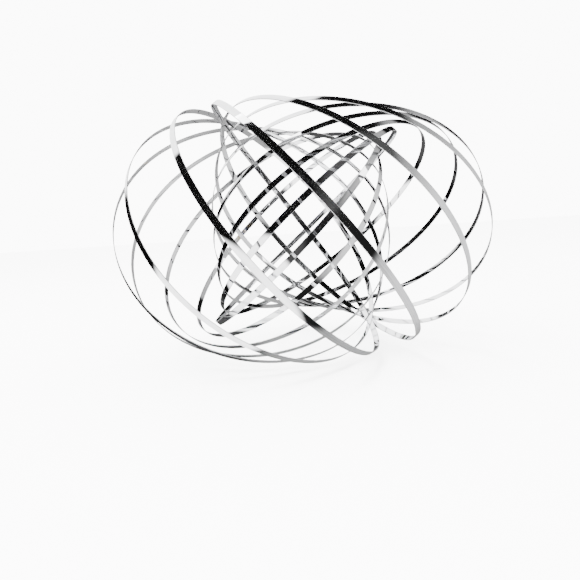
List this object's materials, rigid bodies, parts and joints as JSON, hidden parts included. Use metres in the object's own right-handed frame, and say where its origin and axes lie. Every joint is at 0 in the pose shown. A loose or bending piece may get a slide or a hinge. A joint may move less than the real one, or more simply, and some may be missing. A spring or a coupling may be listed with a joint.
{
  "type": "kinetic spring coil toy",
  "caption": "Flat spring-steel band wound into an open ring of leaning turns that rolls along an arm and folds flat.",
  "frame": {"origin": "middle of the coil, on its axis and in its middle plane", "axes": "+Z along the axis that the arm passes along; -Y is the side that faces the viewer"},
  "size_m": [0.1554, 0.1557, 0.1009],
  "materials": {
    "spring_steel": "mirror polished flat strip, faint rolling lines along its length",
    "weld": "ground weld bead, satin with a slight heat tint"
  },
  "bodies": {
    "weld": {"end_weld": "weld"},
    "turn_01_upper": {"turn_01_upper": "spring_steel"},
    "turn_01_lower": {"turn_01_lower": "spring_steel"},
    "turn_02_upper": {"turn_02_upper": "spring_steel"},
    "turn_02_lower": {"turn_02_lower": "spring_steel"},
    "turn_03_upper": {"turn_03_upper": "spring_steel"},
    "turn_03_lower": {"turn_03_lower": "spring_steel"},
    "turn_04_upper": {"turn_04_upper": "spring_steel"},
    "turn_04_lower": {"turn_04_lower": "spring_steel"},
    "turn_05_upper": {"turn_05_upper": "spring_steel"},
    "turn_05_lower": {"turn_05_lower": "spring_steel"},
    "turn_06_upper": {"turn_06_upper": "spring_steel"},
    "turn_06_lower": {"turn_06_lower": "spring_steel"},
    "turn_07_upper": {"turn_07_upper": "spring_steel"},
    "turn_07_lower": {"turn_07_lower": "spring_steel"},
    "turn_08_upper": {"turn_08_upper": "spring_steel"},
    "turn_08_lower": {"turn_08_lower": "spring_steel"},
    "turn_09_upper": {"turn_09_upper": "spring_steel"},
    "turn_09_lower": {"turn_09_lower": "spring_steel"},
    "turn_10_upper": {"turn_10_upper": "spring_steel"},
    "turn_10_lower": {"turn_10_lower": "spring_steel"},
    "turn_11_upper": {"turn_11_upper": "spring_steel"},
    "turn_11_lower": {"turn_11_lower": "spring_steel"},
    "turn_12_upper": {"turn_12_upper": "spring_steel"},
    "turn_12_lower": {"turn_12_lower": "spring_steel"},
    "turn_13_upper": {"turn_13_upper": "spring_steel"},
    "turn_13_lower": {"turn_13_lower": "spring_steel"}
  },
  "joints": [
    {"name": "turn_01_upper_fold", "type": "hinge", "parent": "weld", "child": "turn_01_upper", "pos_m": [-0.01222, 0.01714, 0], "axis": [-0.3169, 0.9485, 0], "range_deg": [-5, 31.77]},
    {"name": "turn_01_lower_fold", "type": "hinge", "parent": "weld", "child": "turn_01_lower", "pos_m": [0.00621, 0.02011, 0], "axis": [0.0029, 1, 0], "range_deg": [-4.76, 30.27]},
    {"name": "turn_02_upper_fold", "type": "hinge", "parent": "weld", "child": "turn_02_upper", "pos_m": [-0.00285, 0.02085, 0], "axis": [0.1602, 0.9871, 0], "range_deg": [-4.58, 29.1]},
    {"name": "turn_02_lower_fold", "type": "hinge", "parent": "weld", "child": "turn_02_lower", "pos_m": [0.01485, 0.01492, 0], "axis": [0.4673, 0.8841, 0], "range_deg": [-4.46, 28.33]},
    {"name": "turn_03_upper_fold", "type": "hinge", "parent": "weld", "child": "turn_03_upper", "pos_m": [0.00717, 0.01979, 0], "axis": [0.6006, 0.7996, 0], "range_deg": [-4.41, 28.01]},
    {"name": "turn_03_lower_fold", "type": "hinge", "parent": "weld", "child": "turn_03_lower", "pos_m": [0.02008, 0.00631, 0], "axis": [0.8246, 0.5657, 0], "range_deg": [-4.43, 28.15]},
    {"name": "turn_04_upper_fold", "type": "hinge", "parent": "weld", "child": "turn_04_upper", "pos_m": [0.01554, 0.01419, 0], "axis": [0.9034, 0.4289, 0], "range_deg": [-4.53, 28.75]},
    {"name": "turn_04_lower_fold", "type": "hinge", "parent": "weld", "child": "turn_04_lower", "pos_m": [0.02071, -0.00374, 0], "axis": [0.9931, 0.1176, 0], "range_deg": [-4.69, 29.77]},
    {"name": "turn_05_upper_fold", "type": "hinge", "parent": "weld", "child": "turn_05_upper", "pos_m": [0.02036, 0.00534, 0], "axis": [0.9992, -0.04, 0], "range_deg": [-4.9, 31.15]},
    {"name": "turn_05_lower_fold", "type": "hinge", "parent": "weld", "child": "turn_05_lower", "pos_m": [0.0166, -0.01294, 0], "axis": [0.934, -0.3573, 0], "range_deg": [-5.17, 32.82]},
    {"name": "turn_06_upper_fold", "type": "hinge", "parent": "weld", "child": "turn_06_upper", "pos_m": [0.02051, -0.00473, 0], "axis": [0.8661, -0.4998, 0], "range_deg": [-5.46, 34.66]},
    {"name": "turn_06_lower_fold", "type": "hinge", "parent": "weld", "child": "turn_06_lower", "pos_m": [0.00869, -0.01917, 0], "axis": [0.6609, -0.7504, 0], "range_deg": [-5.76, 36.59]},
    {"name": "turn_07_upper_fold", "type": "hinge", "parent": "weld", "child": "turn_07_upper", "pos_m": [0.01596, -0.01372, 0], "axis": [0.5347, -0.8451, 0], "range_deg": [-6.06, 38.48]},
    {"name": "turn_07_lower_fold", "type": "hinge", "parent": "weld", "child": "turn_07_lower", "pos_m": [-0.00122, -0.02101, 0], "axis": [0.2365, -0.9716, 0], "range_deg": [-6.33, 40.23]},
    {"name": "turn_08_upper_fold", "type": "hinge", "parent": "weld", "child": "turn_08_upper", "pos_m": [0.00776, -0.01957, 0], "axis": [0.0807, -0.9967, 0], "range_deg": [-6.57, 41.73]},
    {"name": "turn_08_lower_fold", "type": "hinge", "parent": "weld", "child": "turn_08_lower", "pos_m": [-0.01085, -0.01804, 0], "axis": [-0.2421, -0.9702, 0], "range_deg": [-6.75, 42.9]},
    {"name": "turn_09_upper_fold", "type": "hinge", "parent": "weld", "child": "turn_09_upper", "pos_m": [-0.00222, -0.02093, 0], "axis": [-0.3918, -0.9201, 0], "range_deg": [-6.87, 43.67]},
    {"name": "turn_09_lower_fold", "type": "hinge", "parent": "weld", "child": "turn_09_lower", "pos_m": [-0.01799, -0.01093, 0], "axis": [-0.6653, -0.7466, 0], "range_deg": [-6.92, 43.99]},
    {"name": "turn_10_upper_fold", "type": "hinge", "parent": "weld", "child": "turn_10_upper", "pos_m": [-0.0117, -0.0175, 0], "axis": [-0.7745, -0.6326, 0], "range_deg": [-6.9, 43.85]},
    {"name": "turn_10_lower_fold", "type": "hinge", "parent": "weld", "child": "turn_10_lower", "pos_m": [-0.02101, -0.00132, 0], "axis": [-0.936, -0.3519, 0], "range_deg": [-6.81, 43.25]},
    {"name": "turn_11_upper_fold", "type": "hinge", "parent": "weld", "child": "turn_11_upper", "pos_m": [-0.01849, -0.01006, 0], "axis": [-0.9797, -0.2002, 0], "range_deg": [-6.65, 42.23]},
    {"name": "turn_11_lower_fold", "type": "hinge", "parent": "weld", "child": "turn_11_lower", "pos_m": [-0.01922, 0.00859, 0], "axis": [-0.9924, 0.1234, 0], "range_deg": [-6.43, 40.85]},
    {"name": "turn_12_upper_fold", "type": "hinge", "parent": "weld", "child": "turn_12_upper", "pos_m": [-0.02105, -0.00032, 0], "axis": [-0.9606, 0.278, 0], "range_deg": [-6.17, 39.19]},
    {"name": "turn_12_lower_fold", "type": "hinge", "parent": "weld", "child": "turn_12_lower", "pos_m": [-0.01302, 0.01654, 0], "axis": [-0.8213, 0.5705, 0], "range_deg": [-5.88, 37.34]},
    {"name": "turn_13_upper_fold", "type": "hinge", "parent": "weld", "child": "turn_13_upper", "pos_m": [-0.01878, 0.0095, 0], "axis": [-0.7214, 0.6926, 0], "range_deg": [-5.57, 35.41]},
    {"name": "turn_13_lower_fold", "type": "hinge", "parent": "weld", "child": "turn_13_lower", "pos_m": [-0.00384, 0.0207, 0], "axis": [-0.4621, 0.8868, 0], "range_deg": [-5.28, 33.52]}
  ],
  "couplings": [
    {"joint": "turn_01_lower_fold", "follows": "turn_01_upper_fold", "ratio": 0.95272},
    {"joint": "turn_02_upper_fold", "follows": "turn_01_upper_fold", "ratio": 0.91593},
    {"joint": "turn_02_lower_fold", "follows": "turn_01_upper_fold", "ratio": 0.89176},
    {"joint": "turn_03_upper_fold", "follows": "turn_01_upper_fold", "ratio": 0.88162},
    {"joint": "turn_03_lower_fold", "follows": "turn_01_upper_fold", "ratio": 0.8861},
    {"joint": "turn_04_upper_fold", "follows": "turn_01_upper_fold", "ratio": 0.90493},
    {"joint": "turn_04_lower_fold", "follows": "turn_01_upper_fold", "ratio": 0.93703},
    {"joint": "turn_05_upper_fold", "follows": "turn_01_upper_fold", "ratio": 0.98053},
    {"joint": "turn_05_lower_fold", "follows": "turn_01_upper_fold", "ratio": 1.0329},
    {"joint": "turn_06_upper_fold", "follows": "turn_01_upper_fold", "ratio": 1.0911},
    {"joint": "turn_06_lower_fold", "follows": "turn_01_upper_fold", "ratio": 1.1517},
    {"joint": "turn_07_upper_fold", "follows": "turn_01_upper_fold", "ratio": 1.2113},
    {"joint": "turn_07_lower_fold", "follows": "turn_01_upper_fold", "ratio": 1.2663},
    {"joint": "turn_08_upper_fold", "follows": "turn_01_upper_fold", "ratio": 1.3136},
    {"joint": "turn_08_lower_fold", "follows": "turn_01_upper_fold", "ratio": 1.3504},
    {"joint": "turn_09_upper_fold", "follows": "turn_01_upper_fold", "ratio": 1.3745},
    {"joint": "turn_09_lower_fold", "follows": "turn_01_upper_fold", "ratio": 1.3847},
    {"joint": "turn_10_upper_fold", "follows": "turn_01_upper_fold", "ratio": 1.3802},
    {"joint": "turn_10_lower_fold", "follows": "turn_01_upper_fold", "ratio": 1.3614},
    {"joint": "turn_11_upper_fold", "follows": "turn_01_upper_fold", "ratio": 1.3293},
    {"joint": "turn_11_lower_fold", "follows": "turn_01_upper_fold", "ratio": 1.2858},
    {"joint": "turn_12_upper_fold", "follows": "turn_01_upper_fold", "ratio": 1.2334},
    {"joint": "turn_12_lower_fold", "follows": "turn_01_upper_fold", "ratio": 1.1752},
    {"joint": "turn_13_upper_fold", "follows": "turn_01_upper_fold", "ratio": 1.1146},
    {"joint": "turn_13_lower_fold", "follows": "turn_01_upper_fold", "ratio": 1.055}
  ]
}
